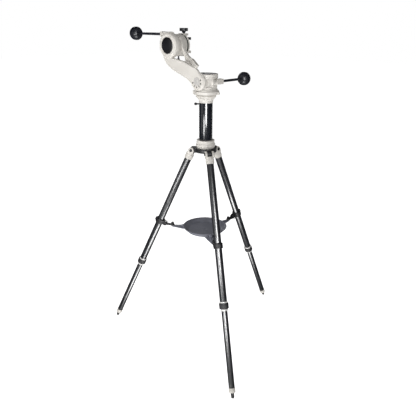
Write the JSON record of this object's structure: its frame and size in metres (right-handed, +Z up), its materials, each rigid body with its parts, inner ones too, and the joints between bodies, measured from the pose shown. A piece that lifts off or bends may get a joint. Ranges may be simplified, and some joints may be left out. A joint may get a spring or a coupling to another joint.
{
  "type": "telescope mount on tripod",
  "caption": "Single-arm altazimuth telescope mount with slow-motion knobs and a dovetail saddle, on an extension pillar and a folding tripod with an accessory tray.",
  "frame": {"origin": "on the floor, on the azimuth axis", "axes": "+Z up; the altitude cap faces -Y, the arm leans to -X and the azimuth knob points to +Y"},
  "size_m": [0.8688, 0.7814, 1.4853],
  "materials": {
    "casting": "satin, warm off-white textured paint on die-cast aluminium",
    "pillar_gloss": "gloss black paint on aluminium tube",
    "leg_tube": "satin graphite-black anodised tube",
    "black_casting": "satin black paint on die-cast aluminium",
    "grip": "black ribbed grip",
    "knob": "black moulded knob",
    "tray_plastic": "dark grey moulded plastic",
    "fastener": "black oxide screws",
    "steel": "turned steel",
    "bronze": "bronze",
    "grey_insert": "mid grey moulded insert",
    "boss_cover": "speckled light grey paint",
    "black_cap": "gloss black disc",
    "friction": "black friction washer",
    "rubber_foot": "black rubber"
  },
  "bodies": {
    "tripod_hub": {"hub_spider": "black_casting", "hub_collar": "casting", "central_bolt": "fastener", "leg_pivot_bolts": "fastener", "pillar_tube": "pillar_gloss", "azimuth_adapter": "casting", "azimuth_spindle": "steel", "azimuth_worm_wheel": "bronze"},
    "pillar_screw": {"pillar_thumb_screw": "fastener"},
    "azimuth_head": {"azimuth_housing": "casting", "azimuth_bush": "bronze", "azimuth_top_cap": "grey_insert", "azimuth_worm_cap": "casting", "arm_pivot_bolt": "boss_cover"},
    "azimuth_drive": {"azimuth_worm": "steel", "azimuth_rod": "knob", "azimuth_knob": "knob"},
    "arm": {"arm": "casting", "arm_index_screws": "fastener", "altitude_housing": "casting", "altitude_cap": "black_cap", "altitude_worm_cap": "casting"},
    "altitude_drive": {"altitude_worm": "steel", "altitude_rod": "knob", "altitude_knob": "knob"},
    "altitude_clutch": {"altitude_clutch_lever": "fastener"},
    "saddle": {"altitude_spindle": "steel", "altitude_worm_wheel": "bronze", "friction_ring": "friction", "saddle_plate": "casting"},
    "saddle_jaw": {"saddle_jaw": "black_casting"},
    "saddle_clamp": {"saddle_clamp_screw": "knob"},
    "leg_a": {"fork_a": "casting", "upper_tube_a": "leg_tube", "tray_bracket_a": "black_casting"},
    "collar_a": {"lock_collar_a": "grip"},
    "leg_a_lower": {"lower_tube_a": "leg_tube", "foot_cap_a": "casting", "foot_tip_a": "rubber_foot"},
    "leg_b": {"fork_b": "casting", "upper_tube_b": "leg_tube", "tray_bracket_b": "black_casting"},
    "collar_b": {"lock_collar_b": "grip"},
    "leg_b_lower": {"lower_tube_b": "leg_tube", "foot_cap_b": "casting", "foot_tip_b": "rubber_foot"},
    "leg_c": {"fork_c": "casting", "upper_tube_c": "leg_tube", "tray_bracket_c": "black_casting"},
    "collar_c": {"lock_collar_c": "grip"},
    "leg_c_lower": {"lower_tube_c": "leg_tube", "foot_cap_c": "casting", "foot_tip_c": "rubber_foot"},
    "tab_a": {"tray_tab_a": "black_casting"},
    "tab_b": {"tray_tab_b": "black_casting"},
    "tray": {"tray": "tray_plastic", "tray_tab_c": "black_casting"},
    "tray_screw_a": {"tray_screw_a": "fastener"},
    "tray_screw_b": {"tray_screw_b": "fastener"},
    "tray_screw_c": {"tray_screw_c": "fastener"}
  },
  "joints": [
    {"name": "azimuth_turn", "type": "hinge", "parent": "tripod_hub", "child": "azimuth_head", "pos_m": [0, 0, 1.219], "axis": [0, 0, 1], "continuous": true},
    {"name": "azimuth_knob_turn", "type": "hinge", "parent": "azimuth_head", "child": "azimuth_drive", "pos_m": [0.045, 0.205, 1.272], "axis": [0, 1, 0], "continuous": true},
    {"name": "arm_tilt", "type": "hinge", "parent": "azimuth_head", "child": "arm", "pos_m": [0, -0.054, 1.275], "axis": [0, 1, 0], "range_deg": [-30, 50]},
    {"name": "altitude_turn", "type": "hinge", "parent": "arm", "child": "saddle", "pos_m": [-0.17, 0, 1.4115], "axis": [0, 1, 0], "continuous": true},
    {"name": "altitude_knob_turn", "type": "hinge", "parent": "arm", "child": "altitude_drive", "pos_m": [-0.392, -0.045, 1.4565], "axis": [1, 0, 0], "continuous": true},
    {"name": "altitude_clutch_turn", "type": "hinge", "parent": "arm", "child": "altitude_clutch", "pos_m": [-0.16, -0.005, 1.3615], "axis": [0, 0, 1], "range_deg": [0, 90]},
    {"name": "clamp_screw_turn", "type": "hinge", "parent": "saddle_jaw", "child": "saddle_clamp", "pos_m": [-0.17, 0.0395, 1.4715], "axis": [0, 0, 1], "range_deg": [0, 1440]},
    {"name": "jaw_slide", "type": "slide", "parent": "saddle", "child": "saddle_jaw", "axis": [0, 0, 1], "range_m": [0, 0.005]},
    {"name": "pillar_screw_turn", "type": "hinge", "parent": "tripod_hub", "child": "pillar_screw", "pos_m": [-0.02973, -0.02677, 1.1765], "axis": [-0.7431, -0.6691, 0], "range_deg": [0, 360]},
    {"name": "leg_fold_a", "type": "hinge", "parent": "tripod_hub", "child": "leg_a", "pos_m": [-0.05691, -0.02862, 0.969], "axis": [0.4493, -0.8934, 0], "range_deg": [0, 23]},
    {"name": "leg_fold_b", "type": "hinge", "parent": "tripod_hub", "child": "leg_b", "pos_m": [0.00367, 0.06359, 0.969], "axis": [-0.9983, 0.0576, 0], "range_deg": [0, 23]},
    {"name": "leg_fold_c", "type": "hinge", "parent": "tripod_hub", "child": "leg_c", "pos_m": [0.05324, -0.03497, 0.969], "axis": [0.549, 0.8358, 0], "range_deg": [0, 23]},
    {"name": "leg_a_extend", "type": "slide", "parent": "leg_a", "child": "leg_a_lower", "axis": [-0.3648, -0.1835, -0.9128], "range_m": [-0.32, 0]},
    {"name": "collar_a_turn", "type": "hinge", "parent": "leg_a", "child": "collar_a", "pos_m": [-0.29876, -0.15026, 0.36379], "axis": [-0.3648, -0.1835, -0.9128], "range_deg": [0, 90]},
    {"name": "leg_b_extend", "type": "slide", "parent": "leg_b", "child": "leg_b_lower", "axis": [0.0235, 0.4077, -0.9128], "range_m": [-0.32, 0]},
    {"name": "collar_b_turn", "type": "hinge", "parent": "leg_b", "child": "collar_b", "pos_m": [0.01925, 0.33387, 0.36379], "axis": [0.0235, 0.4077, -0.9128], "range_deg": [0, 90]},
    {"name": "leg_c_extend", "type": "slide", "parent": "leg_c", "child": "leg_c_lower", "axis": [0.3413, -0.2242, -0.9128], "range_m": [-0.32, 0]},
    {"name": "collar_c_turn", "type": "hinge", "parent": "leg_c", "child": "collar_c", "pos_m": [0.27951, -0.18361, 0.36379], "axis": [0.3413, -0.2242, -0.9128], "range_deg": [0, 90]},
    {"name": "tab_a_swing", "type": "hinge", "parent": "leg_a", "child": "tab_a", "pos_m": [-0.17867, -0.08986, 0.59], "axis": [0.4493, -0.8934, 0], "range_deg": [-110, 0]},
    {"name": "tab_b_swing", "type": "hinge", "parent": "leg_b", "child": "tab_b", "pos_m": [0.01151, 0.19967, 0.59], "axis": [-0.9983, 0.0576, 0], "range_deg": [-110, 0]},
    {"name": "tray_swing", "type": "hinge", "parent": "leg_c", "child": "tray", "pos_m": [0.16716, -0.1098, 0.59], "axis": [0.549, 0.8358, 0], "range_deg": [-110, 0]},
    {"name": "tray_screw_a_turn", "type": "hinge", "parent": "tab_a", "child": "tray_screw_a", "pos_m": [-0.14651, -0.07369, 0.59], "axis": [0, 0, 1], "range_deg": [0, 360]},
    {"name": "tray_screw_b_turn", "type": "hinge", "parent": "tab_b", "child": "tray_screw_b", "pos_m": [0.00944, 0.16373, 0.59], "axis": [0, 0, 1], "range_deg": [0, 360]},
    {"name": "tray_screw_c_turn", "type": "hinge", "parent": "tray", "child": "tray_screw_c", "pos_m": [0.13707, -0.09004, 0.59], "axis": [0, 0, 1], "range_deg": [0, 360]}
  ],
  "couplings": [
    {"joint": "azimuth_knob_turn", "follows": "azimuth_turn", "ratio": -60},
    {"joint": "altitude_knob_turn", "follows": "altitude_turn", "ratio": 60},
    {"joint": "clamp_screw_turn", "follows": "jaw_slide", "rad_per_m": 5026},
    {"joint": "leg_fold_b", "follows": "leg_fold_a", "ratio": 1},
    {"joint": "leg_fold_c", "follows": "leg_fold_a", "ratio": 1},
    {"joint": "tab_a_swing", "follows": "leg_fold_a", "ratio": -4.7},
    {"joint": "tab_b_swing", "follows": "leg_fold_a", "ratio": -4.7},
    {"joint": "tray_swing", "follows": "leg_fold_a", "ratio": -4.7}
  ]
}
